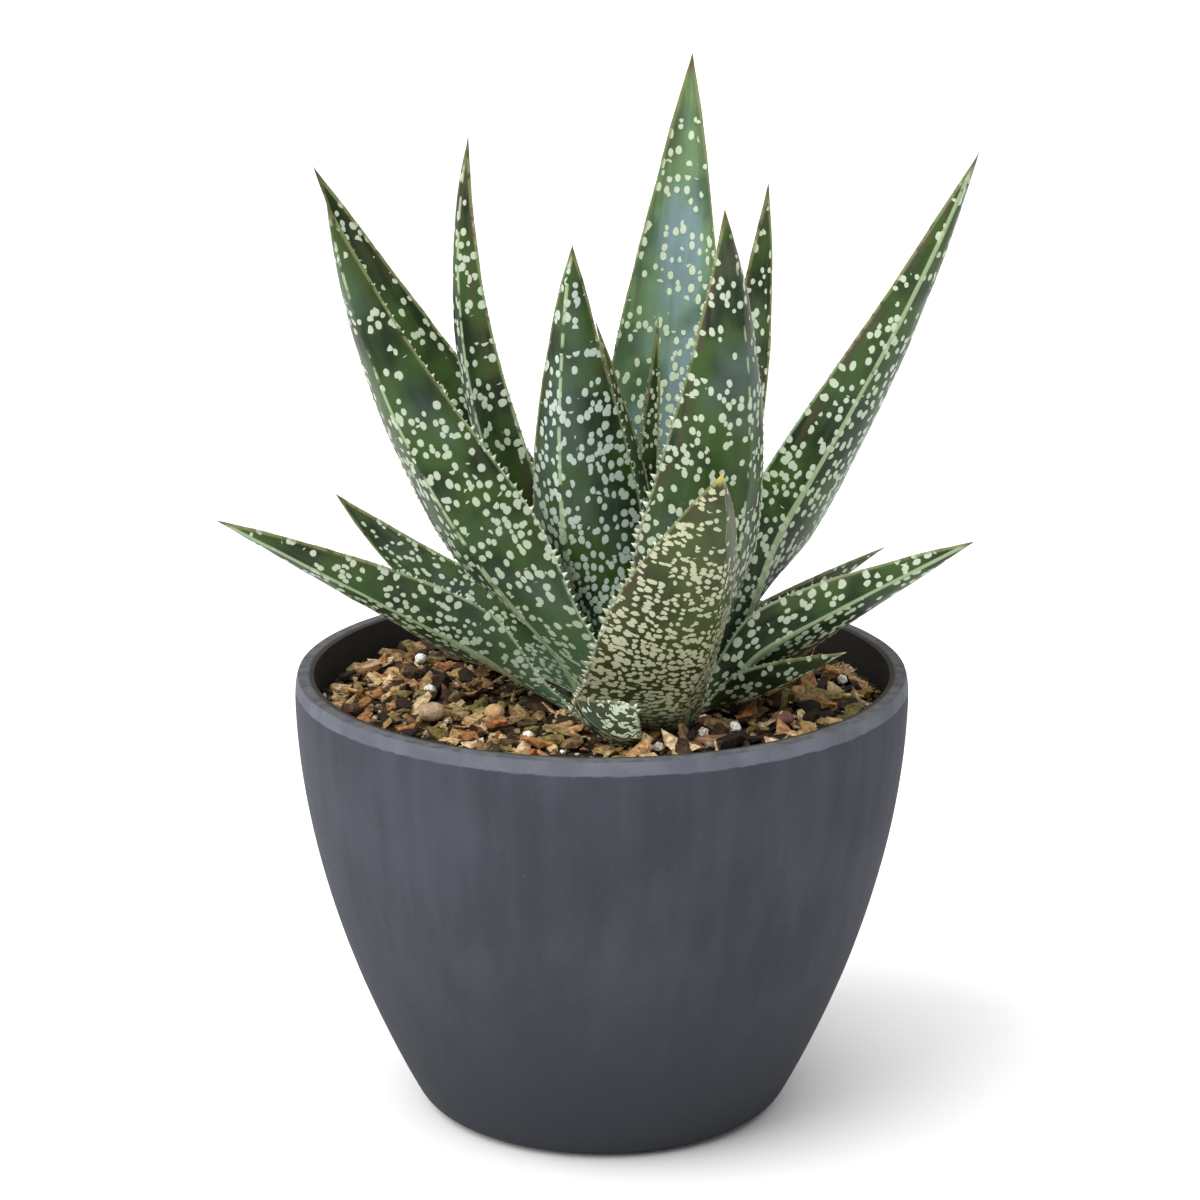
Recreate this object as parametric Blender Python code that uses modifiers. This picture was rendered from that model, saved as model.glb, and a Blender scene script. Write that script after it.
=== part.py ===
"""A potted gasteria hybrid: a matte cement pot, its gritty potting mix with a loose dressing of bark,
pebbles and perlite, and a rosette of keeled, toothed leaves on a short stem with fleshy roots.

The origin is the middle of the pot's underside, +Z is up and -Y is the front. Each piece is one closed
solid. Pieces that touch keep CLEARANCE between them."""

import bmesh
import bpy
from collections import namedtuple
from math import atan, cos, pi, radians, sin, tan
from mathutils import Matrix, Vector, noise

CLEARANCE = 0.0003

# Pot
POT_HEIGHT = 0.0955
POT_RIM_RADIUS = 0.065
POT_FOOT_RADIUS = 0.0385   # where the wall's curve would meet the ground, before the foot is rounded
POT_CURVE = 1.9            # 1 is a straight cone, 2 a bowl whose wall stands upright at the rim
POT_WALL = 0.0042
POT_FLOOR = 0.006
POT_FOOT_FILLET = 0.007
RIM_CHAMFER_HEIGHT = 0.0028
RIM_CHAMFER_WIDTH = 0.0007
FOOT_RING_WIDTH = 0.009
FOOT_RECESS = 0.0012
DRAIN_RADIUS = 0.006
POT_SEGMENTS = 64
POT_WALL_STEPS = 12
FOOT_ARC_STEPS = 4

# Potting mix
MIX_BELOW_RIM = 0.0075
MIX_MOUND = 0.0015
MIX_BUMP = 0.0009
MIX_RINGS = 7
MIX_WALL_RINGS = 5
MIX_SEGMENTS = 48
MIX_BUMP_SIZE = 0.0104     # distance between bumps
MIX_SLACK = 0.0002         # how far the faceted top may stand above its formula

# Stem and roots
STEM_X = 0.007
STEM_Y = -0.006
STEM_RADIUS = 0.0075
STEM_TOP_RADIUS = 0.0028
STEM_ABOVE_MIX = 0.027
STEM_BELOW_MIX = 0.022
STEM_SEGMENTS = 20
STEM_STEPS = 5
STEM_HEEL = 0.7            # radius of the stem's lower end, as a share of the stem's
STEM_CROWN = 0.6           # radius of its flat top, as a share of the top's
ROOT_COUNT = 6
ROOT_POINTS = 8
ROOT_FIRST = 0.35          # share of the buried stem above the first root, and
ROOT_STAGGER = 0.12        # how much lower each next one starts, in turns of three
ROOT_SPREAD = 0.021
ROOT_DROP = 0.034
ROOT_WANDER = 0.18
ROOT_WAVE = 2.4
ROOT_RADIUS = 0.0019
ROOT_TIP = 0.55            # radius at the tip, as a share of the root's

# Leaves. Angles are in degrees and sizes in millimetres.
#   at        bearing of the place on the stem, from +X towards +Y
#   seat      height of that place above the mix, and
#   off       its distance from the stem's skin
#   bearing   compass direction of the line from base to tip, and
#   lean      its angle from upright
#   arch      how much the leaf curls outwards between base and tip, and
#   bend      how much it curves sideways
#   length, width, thick   of the blade
#   turn      turn of the blade about its own length
#   keel      sideways place of the keel, as a share of the half width
#   fold      depth of the channel, as a share of the half width
#   foot      width of the base as a share of the full width
#   taper     1 narrows evenly to the point, 2 stays full for longer
Leaf = namedtuple("Leaf", "at seat off bearing lean arch bend length width thick turn keel fold foot taper")
MM = 0.001
LEAVES = {
    "leaf_left_front_tall":   Leaf(226, 12, 7, 187, 28.4, -30, 0, 113, 24, 4.6, 60, -0.2, 0.40, 0.34, 1.5),
    "leaf_left_back_tall":    Leaf(118, 11, 7, 163, 33, -10, 0, 119, 21, 3.6, -40, 0.0, 0.30, 0.30, 1.5),
    "leaf_left_narrow":       Leaf(168, 15, 6, 173, 12.4, -45, 0, 111, 20.5, 4.0, 40, 0.3, 0.35, 0.25, 1.8),
    "leaf_middle_front":      Leaf(-142, 15, 2.5, -130, 7, -8, 8, 87, 24, 4.5, 34, -0.4, 0.32, 0.16, 1.5),
    "leaf_middle_young":      Leaf(0, 26, 1, 165, 13, 6, 0, 58, 11, 2.2, 0, 0.0, 0.30, 0.35, 1.5),
    "leaf_back_tallest":      Leaf(80, 11, 8, 68, 12, -10, 0, 125, 31, 5.0, 0, 0.0, 0.25, 0.25, 1.5),
    "leaf_inner_slip":        Leaf(85, 25, 3, 65, 10, -9, 0, 58, 6, 2.2, 0, 0.0, 0.35, 0.50, 1.5),
    "leaf_right_front_tall":  Leaf(-66, 7, 5, -44, 9.5, -22, -14, 105, 27, 6.0, -30, 0.5, 0.40, 0.40, 1.5),
    "leaf_right_back_narrow": Leaf(0, 16, 4, 38, 14, -24, 0, 97, 17, 3.5, 20, 0.0, 0.35, 0.30, 1.5),
    "leaf_right_long":        Leaf(2, 9, 6, 4, 28, -16, 0, 123, 25, 5.5, -55, -0.5, 0.40, 0.30, 1.5),
    "leaf_front_short":       Leaf(-90, 6, 15, -47, 24, -24, 0, 60, 30, 6.0, -15, 0.4, 0.40, 0.85, 2.1),
    "leaf_right_low":         Leaf(-20, 5, 6, -7, 59, 4, 0, 67, 20, 5.0, -55, -0.45, 0.35, 0.34, 1.5),
    "leaf_right_low_back":    Leaf(52, 6, 4, 15, 64, 6, 0, 55, 15, 4.0, -20, 0.0, 0.35, 0.50, 1.5),
    "leaf_right_dry":         Leaf(-32, 4, 10, -18, 65, 5, 0, 33, 12, 3.5, -30, 0.0, 0.35, 0.50, 1.5),
    "leaf_left_low":          Leaf(190, 4, 8, 193, 59.8, 4, 0, 83.5, 21, 4.2, 45, 0.25, 0.35, 0.26, 1.5),
    "leaf_left_low_back":     Leaf(162, 6, 5, 153, 61, -25, 0, 69, 20, 4.0, -20, 0.0, 0.35, 0.30, 1.5),
    "leaf_front_stub":        Leaf(-88, 6, 25, 180, 64, -70, 0, 16, 11, 3.5, 70, 0.0, 0.40, 0.90, 2.0),
}
LEAF_RINGS = 11
LEAF_RING_POWER = 0.95     # below 1 sets the rings a little closer towards the tip
LEAF_STEPS = 61            # fine steps of the middle line that the rings are placed on
LEAF_SWELL = 0.25          # share of the length where the blade has grown to its full width
LEAF_TIP_SHARE = 0.03      # thickness and width left where the point starts
LEAF_THINNING = 2.2        # higher keeps the leaf thick for longer towards its tip
LEAF_MOST_THICK = 1.2      # the most that the thickness may be, as a share of the half width
CHANNEL_PLACES = (-1.0, -0.5, 0.0, 0.5, 1.0)      # places across the inner face, in half widths
BACK_PLACES = (0.75, 0.4, 0.0, -0.4, -0.75)       # places back across the keeled outer face
CHANNEL_CURVE = 1.5        # 1 folds the channel to a V, 2 rounds it
CHANNEL_AT_BASE = 0.35     # depth of the channel at the base, as a share of its full depth
BACK_FULLNESS = 0.86       # height of the back beside the keel, as a share of the keel's
MARGIN_THICKNESS = 0.02    # thickness at the margins, as a share of the keel's


# Dressing. Loose pieces on the mix: kind, what its place is measured from ("stem" or "wall"), bearing
# in degrees about the stem or the pot's axis, distance from the stem's axis or in from the wall, then
# length, width and height in millimetres, and the length's own bearing.
Piece = namedtuple("Piece", "kind datum bearing distance length width height heading")
DRESSING = {
    "pebble_tan":        Piece("pebble", "stem", -163, 44.0, 6.0, 5.2, 4.2, 20),
    "pebble_warm":       Piece("pebble", "stem", -158, 31.5, 5.2, 4.4, 3.8, 70),
    "pebble_grey":       Piece("pebble", "stem", -27, 34.0, 5.2, 4.2, 3.4, 10),
    "bark_chip_oval":    Piece("bark", "stem", 171.5, 51.0, 6.5, 3.4, 2.2, 80),
    "bark_chip_orange":  Piece("bark", "stem", -145, 35.0, 5.5, 3.6, 2.4, 30),
    "bark_chip_left":    Piece("bark", "wall", 163, 8.0, 8.5, 5.0, 2.8, 60),
    "bark_chip_dark":    Piece("bark", "wall", -168, 7.0, 7.5, 4.2, 2.4, 100),
    "bark_chip_right":   Piece("bark", "wall", 14, 8.0, 8.0, 5.0, 3.0, -50),
    "bark_chip_low":     Piece("bark", "stem", -2, 36.0, 6.5, 4.4, 2.6, 30),
    "bark_chip_back":    Piece("bark", "wall", 75, 13.0, 8.0, 4.5, 2.8, 0),
    "bark_chip_behind":  Piece("bark", "wall", 116, 11.0, 7.0, 4.6, 2.6, 40),
    "bark_strip_front":  Piece("bark", "stem", -62, 31.0, 14.0, 2.6, 1.8, 8),
    "bark_strip_left":   Piece("bark", "wall", -112, 8.0, 10.0, 2.4, 1.8, 165),
    "perlite_left":      Piece("perlite", "stem", 174, 43.5, 2.8, 2.6, 2.4, 0),
    "perlite_far_left":  Piece("perlite", "wall", 150, 15.0, 2.8, 2.4, 2.4, 0),
    "perlite_front":     Piece("perlite", "stem", -131, 33.5, 2.6, 2.4, 2.2, 0),
    "perlite_right":     Piece("perlite", "stem", -45, 28.5, 3.0, 2.8, 2.4, 0),
    "perlite_edge":      Piece("perlite", "wall", -80, 6.0, 2.8, 2.4, 2.2, 0),
}


def clear_scene():
    for item in list(bpy.data.objects):
        bpy.data.objects.remove(item, do_unlink=True)


def new_collection(name):
    group = bpy.data.collections.new(name)
    bpy.context.scene.collection.children.link(group)
    return group


def material(name, colour, roughness, metallic=0.0):
    mat = bpy.data.materials.new(name)
    mat.use_nodes = True
    shader = mat.node_tree.nodes["Principled BSDF"]
    shader.inputs["Base Color"].default_value = (*colour, 1.0)
    shader.inputs["Roughness"].default_value = roughness
    shader.inputs["Metallic"].default_value = metallic
    return mat


def mesh_object(name, verts, faces, mat, group):
    mesh = bpy.data.meshes.new(name)
    mesh.from_pydata(verts, [], faces)
    mesh.shade_smooth()
    obj = bpy.data.objects.new(name, mesh)
    obj.data.materials.append(mat)
    group.objects.link(obj)
    return obj


def turned(name, profile, steps, closed, mat, group):
    """A profile of (radius, height) points, running down its outer side, spun about Z."""
    edges = [(i, i + 1) for i in range(len(profile) - 1)]
    if closed:
        edges.append((len(profile) - 1, 0))
    mesh = bpy.data.meshes.new(name)
    mesh.from_pydata([(r, 0.0, z) for r, z in profile], edges, [])
    obj = bpy.data.objects.new(name, mesh)
    group.objects.link(obj)
    screw = obj.modifiers.new("Turn", "SCREW")
    screw.axis = "Z"
    screw.angle = 2 * pi
    screw.steps = steps
    screw.render_steps = steps
    screw.use_merge_vertices = True
    screw.merge_threshold = 0.00001
    screw.use_smooth_shade = True
    obj.data.materials.append(mat)
    return obj


# ---------------------------------------------------------------------------------------------- pot

def pot_outer_radius(height):
    body = POT_HEIGHT - RIM_CHAMFER_HEIGHT
    rise = min(max(height / body, 0.0), 1.0)
    return POT_RIM_RADIUS - (POT_RIM_RADIUS - POT_FOOT_RADIUS) * (1.0 - rise) ** POT_CURVE


def pot_inner_radius(height):
    return pot_outer_radius(height) - POT_WALL


def foot_arc():
    """Points of the round corner between the wall, where it is steepest, and the underside."""
    slope = (POT_RIM_RADIUS - POT_FOOT_RADIUS) * POT_CURVE / (POT_HEIGHT - RIM_CHAMFER_HEIGHT)
    tilt = atan(slope)
    centre = POT_FOOT_RADIUS + slope * POT_FOOT_FILLET - POT_FOOT_FILLET / cos(tilt)
    points = []
    for i in range(FOOT_ARC_STEPS + 1):
        angle = tilt + (pi / 2 - tilt) * i / FOOT_ARC_STEPS
        points.append((centre + POT_FOOT_FILLET * cos(angle), POT_FOOT_FILLET * (1 - sin(angle))))
    return points


def pot_profile():
    """Closed outline: chamfered rim, bowed wall, rounded foot, recess, drain hole, floor, inner wall."""
    body = POT_HEIGHT - RIM_CHAMFER_HEIGHT
    corner = foot_arc()
    outline = [(POT_RIM_RADIUS - RIM_CHAMFER_WIDTH, POT_HEIGHT)]
    for i in range(POT_WALL_STEPS):
        height = body + (corner[0][1] - body) * i / POT_WALL_STEPS
        outline.append((pot_outer_radius(height), height))
    outline += corner
    recess = corner[-1][0] - FOOT_RING_WIDTH
    outline += [(recess, 0.0), (recess - FOOT_RECESS, FOOT_RECESS)]
    outline += [(DRAIN_RADIUS, FOOT_RECESS), (DRAIN_RADIUS, POT_FLOOR)]
    for i in range(POT_WALL_STEPS + 1):
        height = POT_FLOOR + (POT_HEIGHT - POT_FLOOR) * i / POT_WALL_STEPS
        outline.append((pot_inner_radius(height), height))
    return outline


def make_pot(group):
    cement = material("pot_cement", (0.060, 0.066, 0.080), 0.62)
    return turned("pot", pot_profile(), POT_SEGMENTS, True, cement, group)


# --------------------------------------------------------------------------------------------- soil

def mix_top():
    return POT_HEIGHT - MIX_BELOW_RIM


def mix_height(x, y):
    """Height of the mix at a place: a low mound at the stem with small seeded bumps."""
    rim = pot_inner_radius(mix_top())
    reach = min((x * x + y * y) ** 0.5 / rim, 1.0)
    bumps = noise.noise(Vector((x, y, 0.0)) / MIX_BUMP_SIZE)
    return mix_top() + MIX_MOUND * (1.0 - reach * reach) + MIX_BUMP * bumps


def mix_rings():
    """(radius, height or None) of the mix's rings: over the top, then down the pot's inner wall."""
    rim = pot_inner_radius(mix_top()) - 2 * CLEARANCE
    rings = [(rim * (i + 1) / MIX_RINGS, None) for i in range(MIX_RINGS)]
    shoulder = mix_top() - MIX_BUMP
    floor = POT_FLOOR + CLEARANCE
    for i in range(MIX_WALL_RINGS):
        height = shoulder + (floor - shoulder) * (i + 1) / MIX_WALL_RINGS
        rings.append((pot_inner_radius(height) - 2 * CLEARANCE, height))
    return rings


def make_mix(group):
    """A disc of bumpy rings on a plug that fills the pot's inside."""
    soil = material("potting_mix", (0.090, 0.055, 0.030), 0.95)
    rings = mix_rings()
    count = MIX_SEGMENTS
    verts = [(0.0, 0.0, mix_height(0.0, 0.0))]
    for radius, height in rings:
        for k in range(count):
            x = radius * cos(2 * pi * k / count)
            y = radius * sin(2 * pi * k / count)
            verts.append((x, y, mix_height(x, y) if height is None else height))
    verts.append((0.0, 0.0, POT_FLOOR + CLEARANCE))
    faces = []
    last = 1 + (len(rings) - 1) * count
    for k in range(count):
        after = (k + 1) % count
        faces.append((0, 1 + k, 1 + after))
        for ring in range(len(rings) - 1):
            a = 1 + ring * count
            faces.append((a + k, a + count + k, a + count + after, a + after))
        faces.append((len(verts) - 1, last + after, last + k))
    return mesh_object("potting_mix", verts, faces, soil, group)


def cut(target, cutter):
    cutter.hide_render = True
    cutter.display_type = "WIRE"
    boolean = target.modifiers.new("Cut_" + cutter.name, "BOOLEAN")
    boolean.operation = "DIFFERENCE"
    boolean.solver = "EXACT"
    boolean.object = cutter


# ------------------------------------------------------------------------------------ stem and roots

def stem_radius(height):
    """Radius of the stem at a height, with a round shoulder towards the top."""
    rise = (height - mix_top()) / STEM_ABOVE_MIX
    rise = min(max(rise, 0.0), 1.0)
    return STEM_RADIUS + (STEM_TOP_RADIUS - STEM_RADIUS) * rise


def stem_profile(extra):
    """Outline from the flat top down to the heel in the mix, grown by extra all round."""
    top = mix_top() + STEM_ABOVE_MIX
    foot = mix_top() - STEM_BELOW_MIX
    outline = [(0.0, top + extra), (STEM_CROWN * STEM_TOP_RADIUS + extra, top + extra)]
    for i in range(STEM_STEPS):
        height = top - STEM_ABOVE_MIX * (i + 1) / STEM_STEPS
        outline.append((stem_radius(height) + extra, height))
    outline.append((STEM_RADIUS + extra, foot + (1.0 - STEM_HEEL) * STEM_RADIUS))
    outline += [(STEM_HEEL * STEM_RADIUS + extra, foot - extra), (0.0, foot - extra)]
    return outline


def make_stem(group):
    flesh = material("stem_flesh", (0.42, 0.50, 0.22), 0.55)
    stem = turned("stem", stem_profile(0.0), STEM_SEGMENTS, False, flesh, group)
    stem.location = (STEM_X, STEM_Y, 0.0)
    return stem


def root_points(index, start):
    """A root's middle line, from its distance start off the stem's axis, out and down in the mix."""
    bearing = 2 * pi * (index + 0.5) / ROOT_COUNT
    height = mix_top() - STEM_BELOW_MIX * (ROOT_FIRST + ROOT_STAGGER * (index % 3))
    points = []
    for i in range(ROOT_POINTS):
        share = i / (ROOT_POINTS - 1)
        reach = start + ROOT_SPREAD * sin(share * pi / 2)
        wander = bearing + ROOT_WANDER * sin(ROOT_WAVE * share + index)
        drop = ROOT_DROP * (1 - cos(share * pi / 2))
        points.append(Vector((STEM_X + reach * cos(wander), STEM_Y + reach * sin(wander), height - drop)))
    return points


def make_tube(name, points, radius, mat, group):
    """A round tube with closed ends, narrowing a little towards its tip, as a welded mesh."""
    curve = bpy.data.curves.new(name, "CURVE")
    curve.dimensions = "3D"
    curve.bevel_depth = radius
    curve.bevel_resolution = 2
    curve.use_fill_caps = True
    spline = curve.splines.new("POLY")
    spline.points.add(len(points) - 1)
    for i, point in enumerate(points):
        spline.points[i].co = (*point, 1.0)
        spline.points[i].radius = 1.0 + (ROOT_TIP - 1.0) * i / (len(points) - 1)
    draft = bpy.data.objects.new(name, curve)
    group.objects.link(draft)
    bpy.context.view_layer.update()
    graph = bpy.context.evaluated_depsgraph_get()
    mesh = bpy.data.meshes.new_from_object(draft.evaluated_get(graph))
    place = draft.matrix_world.copy()
    bpy.data.objects.remove(draft, do_unlink=True)
    weld = bmesh.new()
    weld.from_mesh(mesh)
    bmesh.ops.remove_doubles(weld, verts=weld.verts, dist=0.00001)
    bmesh.ops.recalc_face_normals(weld, faces=weld.faces)
    weld.to_mesh(mesh)
    weld.free()
    mesh.materials.clear()
    mesh.materials.append(mat)
    mesh.shade_smooth()
    tube = bpy.data.objects.new(name, mesh)
    tube.matrix_world = place
    group.objects.link(tube)
    return tube


def make_roots(group, cutters, mix):
    """Fleshy roots, each in its own channel of the mix, which opens into the stem's socket."""
    flesh = material("root_flesh", (0.62, 0.52, 0.36), 0.7)
    socket = turned("socket_cutter", stem_profile(CLEARANCE), STEM_SEGMENTS, False, flesh, cutters)
    socket.location = (STEM_X, STEM_Y, 0.0)
    cut(mix, socket)
    for i in range(ROOT_COUNT):
        start = STEM_RADIUS + 2 * CLEARANCE
        make_tube("root_%d" % (i + 1), root_points(i, start), ROOT_RADIUS, flesh, group)
        channel = root_points(i, start)
        ahead = (channel[-1] - channel[-2]).normalized()
        channel[-1] = channel[-1] + ahead * 2 * CLEARANCE
        channel.insert(0, root_points(i, 0.5 * STEM_RADIUS)[0])
        cut(mix, make_tube("channel_%d" % (i + 1), channel, ROOT_RADIUS + 2 * CLEARANCE, flesh, cutters))


# ------------------------------------------------------------------------------------------- leaves

def smooth_step(value):
    value = min(max(value, 0.0), 1.0)
    return value * value * (3.0 - 2.0 * value)


def leaf_frames(leaf, count):
    """Places and directions along the leaf: (place, along, side, out) at even steps."""
    bearing = radians(leaf.bearing)
    lean = radians(leaf.lean)
    chord = Vector((sin(lean) * cos(bearing), sin(lean) * sin(bearing), cos(lean)))
    side = Vector((-sin(bearing), cos(bearing), 0.0))
    out = side.cross(chord)
    at = radians(leaf.at)
    seat = mix_top() + leaf.seat * MM
    reach = stem_radius(seat) + CLEARANCE + leaf.off * MM
    place = Vector((STEM_X + reach * cos(at), STEM_Y + reach * sin(at), seat))
    frames = []
    step = leaf.length * MM / (count - 1)
    for i in range(count):
        share = i / (count - 1)
        arch = radians(leaf.arch) * (share - 0.5)
        bend = radians(leaf.bend) * (share - 0.5)
        along = (chord + out * tan(arch) + side * tan(bend)).normalized()
        if i:
            place = place + (along + frames[-1][1]).normalized() * step
        turn = Matrix.Rotation(radians(leaf.turn), 3, along)
        level = (side - along * side.dot(along)).normalized()
        frames.append((place.copy(), along, turn @ level, turn @ level.cross(along)))
    return frames


def blade_width(leaf, share):
    """Half width: the foot swells to the full width, which then tapers in an arc to the point."""
    if share < LEAF_SWELL:
        part = leaf.foot + (1.0 - leaf.foot) * smooth_step(share / LEAF_SWELL)
    else:
        part = 1.0 - ((share - LEAF_SWELL) / (1.0 - LEAF_SWELL)) ** leaf.taper
    return max(part, LEAF_TIP_SHARE) * leaf.width * MM / 2


def blade_thickness(leaf, share):
    return max(1.0 - share ** LEAF_THINNING, LEAF_TIP_SHARE) * leaf.thick * MM


def leaf_section(leaf, share):
    """Points (side, out) round the blade: the channel from margin to margin, then the keeled back."""
    half = blade_width(leaf, share)
    thick = min(blade_thickness(leaf, share), LEAF_MOST_THICK * half)
    opening = smooth_step(2.0 * share)
    fold = leaf.fold * (CHANNEL_AT_BASE + (1.0 - CHANNEL_AT_BASE) * opening)
    points = []
    for s in CHANNEL_PLACES:
        points.append((s * half, -fold * half * abs(s) ** CHANNEL_CURVE))
    for s in BACK_PLACES:
        across = s + leaf.keel * (1.0 - abs(s))
        back = 1.0 if s == 0.0 else BACK_FULLNESS * (1.0 - s * s) + MARGIN_THICKNESS
        points.append((across * half, -fold * half * abs(across) ** CHANNEL_CURVE + back * thick))
    return points


def make_leaf(name, leaf, mat, group):
    shares = [(i / LEAF_RINGS) ** LEAF_RING_POWER for i in range(LEAF_RINGS)]
    frames = leaf_frames(leaf, LEAF_STEPS)
    verts = []
    for share in shares:
        place, along, side, out = frames[round(share * (LEAF_STEPS - 1))]
        for s, o in leaf_section(leaf, share):
            verts.append(place + side * s + out * o)
    verts.append(frames[-1][0])
    count = len(leaf_section(leaf, 0.0))
    faces = [tuple(range(count))]
    for ring in range(len(shares) - 1):
        a = ring * count
        for k in range(count):
            after = (k + 1) % count
            faces.append((a + k, a + count + k, a + count + after, a + after))
    last = (len(shares) - 1) * count
    for k in range(count):
        faces.append((last + k, len(verts) - 1, last + (k + 1) % count))
    mesh_object(name, verts, faces, mat, group)


def make_leaves(group):
    for name, leaf in LEAVES.items():
        skin = material(name, (0.055, 0.115, 0.050), 0.42)
        make_leaf(name, leaf, skin, group)


# ----------------------------------------------------------------------------------------- dressing

# Colour, finish and how rough the shape is, by kind
Kind = namedtuple("Kind", "colour finish roughness")
KINDS = {
    "pebble":  Kind((0.42, 0.31, 0.20), 0.75, 0.12),
    "bark":    Kind((0.26, 0.12, 0.05), 0.75, 0.22),
    "perlite": Kind((0.80, 0.77, 0.70), 0.90, 0.35),
}
LUMP_ROUNDING = 0.45       # 0 keeps the block or ball, 1 makes it a ball
LUMP_CUBE = 1.6            # side of the block that fills a ball of radius 1 once it is rounded
LUMP_GRAIN = 1.3


def dressing_place(piece):
    """Where a piece lies: so far from the stem, or so far in from the pot's wall."""
    centre = Vector((STEM_X, STEM_Y, 0.0))
    reach = piece.distance * MM
    if piece.datum == "wall":
        centre = Vector((0.0, 0.0, 0.0))
        reach = pot_inner_radius(mix_top()) - reach
    return centre + reach * Vector((cos(radians(piece.bearing)), sin(radians(piece.bearing)), 0.0))


def lump(name, piece, mat, group):
    """A pebble or perlite grain is a rough ball, and a bark chip is a bevelled slab, each with its own
    seeded roughness. It is set down on the mix at its lowest clearance."""
    shape = bmesh.new()
    if piece.kind == "bark":
        bmesh.ops.create_cube(shape, size=LUMP_CUBE)
        bmesh.ops.subdivide_edges(shape, edges=shape.edges, cuts=1, use_grid_fill=True)
    else:
        bmesh.ops.create_icosphere(shape, subdivisions=2, radius=1.0)
    seed = Vector((len(name), 3.0 * piece.bearing, 0.3 * piece.distance))
    for vert in shape.verts:
        push = 1.0 + KINDS[piece.kind].roughness * noise.noise(vert.co * LUMP_GRAIN + seed)
        vert.co = vert.co.lerp(vert.co.normalized(), LUMP_ROUNDING) * push
    half = Vector((piece.length, piece.width, piece.height)) * MM / 2
    bmesh.ops.scale(shape, vec=half, verts=shape.verts)
    bmesh.ops.rotate(shape, matrix=Matrix.Rotation(radians(piece.heading), 3, "Z"), verts=shape.verts)
    bmesh.ops.translate(shape, vec=dressing_place(piece), verts=shape.verts)
    drop = min(vert.co.z - mix_height(vert.co.x, vert.co.y) for vert in shape.verts)
    bmesh.ops.translate(shape, vec=(0.0, 0.0, CLEARANCE + MIX_SLACK - drop), verts=shape.verts)
    mesh = bpy.data.meshes.new(name)
    shape.to_mesh(mesh)
    shape.free()
    mesh.shade_smooth()
    mesh.materials.append(mat)
    group.objects.link(bpy.data.objects.new(name, mesh))


def make_dressing(group):
    for name, piece in DRESSING.items():
        kind = KINDS[piece.kind]
        lump(name, piece, material(name, kind.colour, kind.finish), group)


clear_scene()
plant = new_collection("potted_gasteria")
cutters = new_collection("cutters")
make_pot(plant)
mix = make_mix(plant)
make_stem(plant)
make_roots(plant, cutters, mix)
make_leaves(plant)
make_dressing(plant)
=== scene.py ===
"""The looks of the potted gasteria hybrid, built around its CAD frame: the cast pot, the gritty mix with
its loose bark, grit and perlite, and the rosette of spotted, toothed leaves."""
import bmesh
import bpy
from collections import namedtuple
from math import cos, pi, radians, sin
from mathutils import Matrix, Vector, noise
from mathutils.bvhtree import BVHTree
from random import Random


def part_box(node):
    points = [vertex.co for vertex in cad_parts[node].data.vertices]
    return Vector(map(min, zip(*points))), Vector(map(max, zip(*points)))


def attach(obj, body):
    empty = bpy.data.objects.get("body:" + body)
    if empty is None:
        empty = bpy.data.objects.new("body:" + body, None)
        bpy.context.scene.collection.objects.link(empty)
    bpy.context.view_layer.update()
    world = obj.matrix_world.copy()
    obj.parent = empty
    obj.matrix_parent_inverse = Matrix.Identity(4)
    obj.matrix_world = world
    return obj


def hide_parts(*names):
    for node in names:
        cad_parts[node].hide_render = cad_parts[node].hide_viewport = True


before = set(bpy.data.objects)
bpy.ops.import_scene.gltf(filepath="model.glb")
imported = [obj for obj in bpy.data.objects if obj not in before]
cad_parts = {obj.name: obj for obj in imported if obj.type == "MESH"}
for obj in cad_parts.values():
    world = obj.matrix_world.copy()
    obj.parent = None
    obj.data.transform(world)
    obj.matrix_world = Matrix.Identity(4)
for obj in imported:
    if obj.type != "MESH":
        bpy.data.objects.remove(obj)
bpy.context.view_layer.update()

MM = 0.001


# ---------------------------------------------------------------------------------------------- pot
# A slip-cast cement cup, left matte. The cast keeps faint upright streaks and pores, and the chamfer at the
# rim carries painted light, a lighter band where the bevel faces up, with a ragged lower edge where the body
# colour starts.

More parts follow.
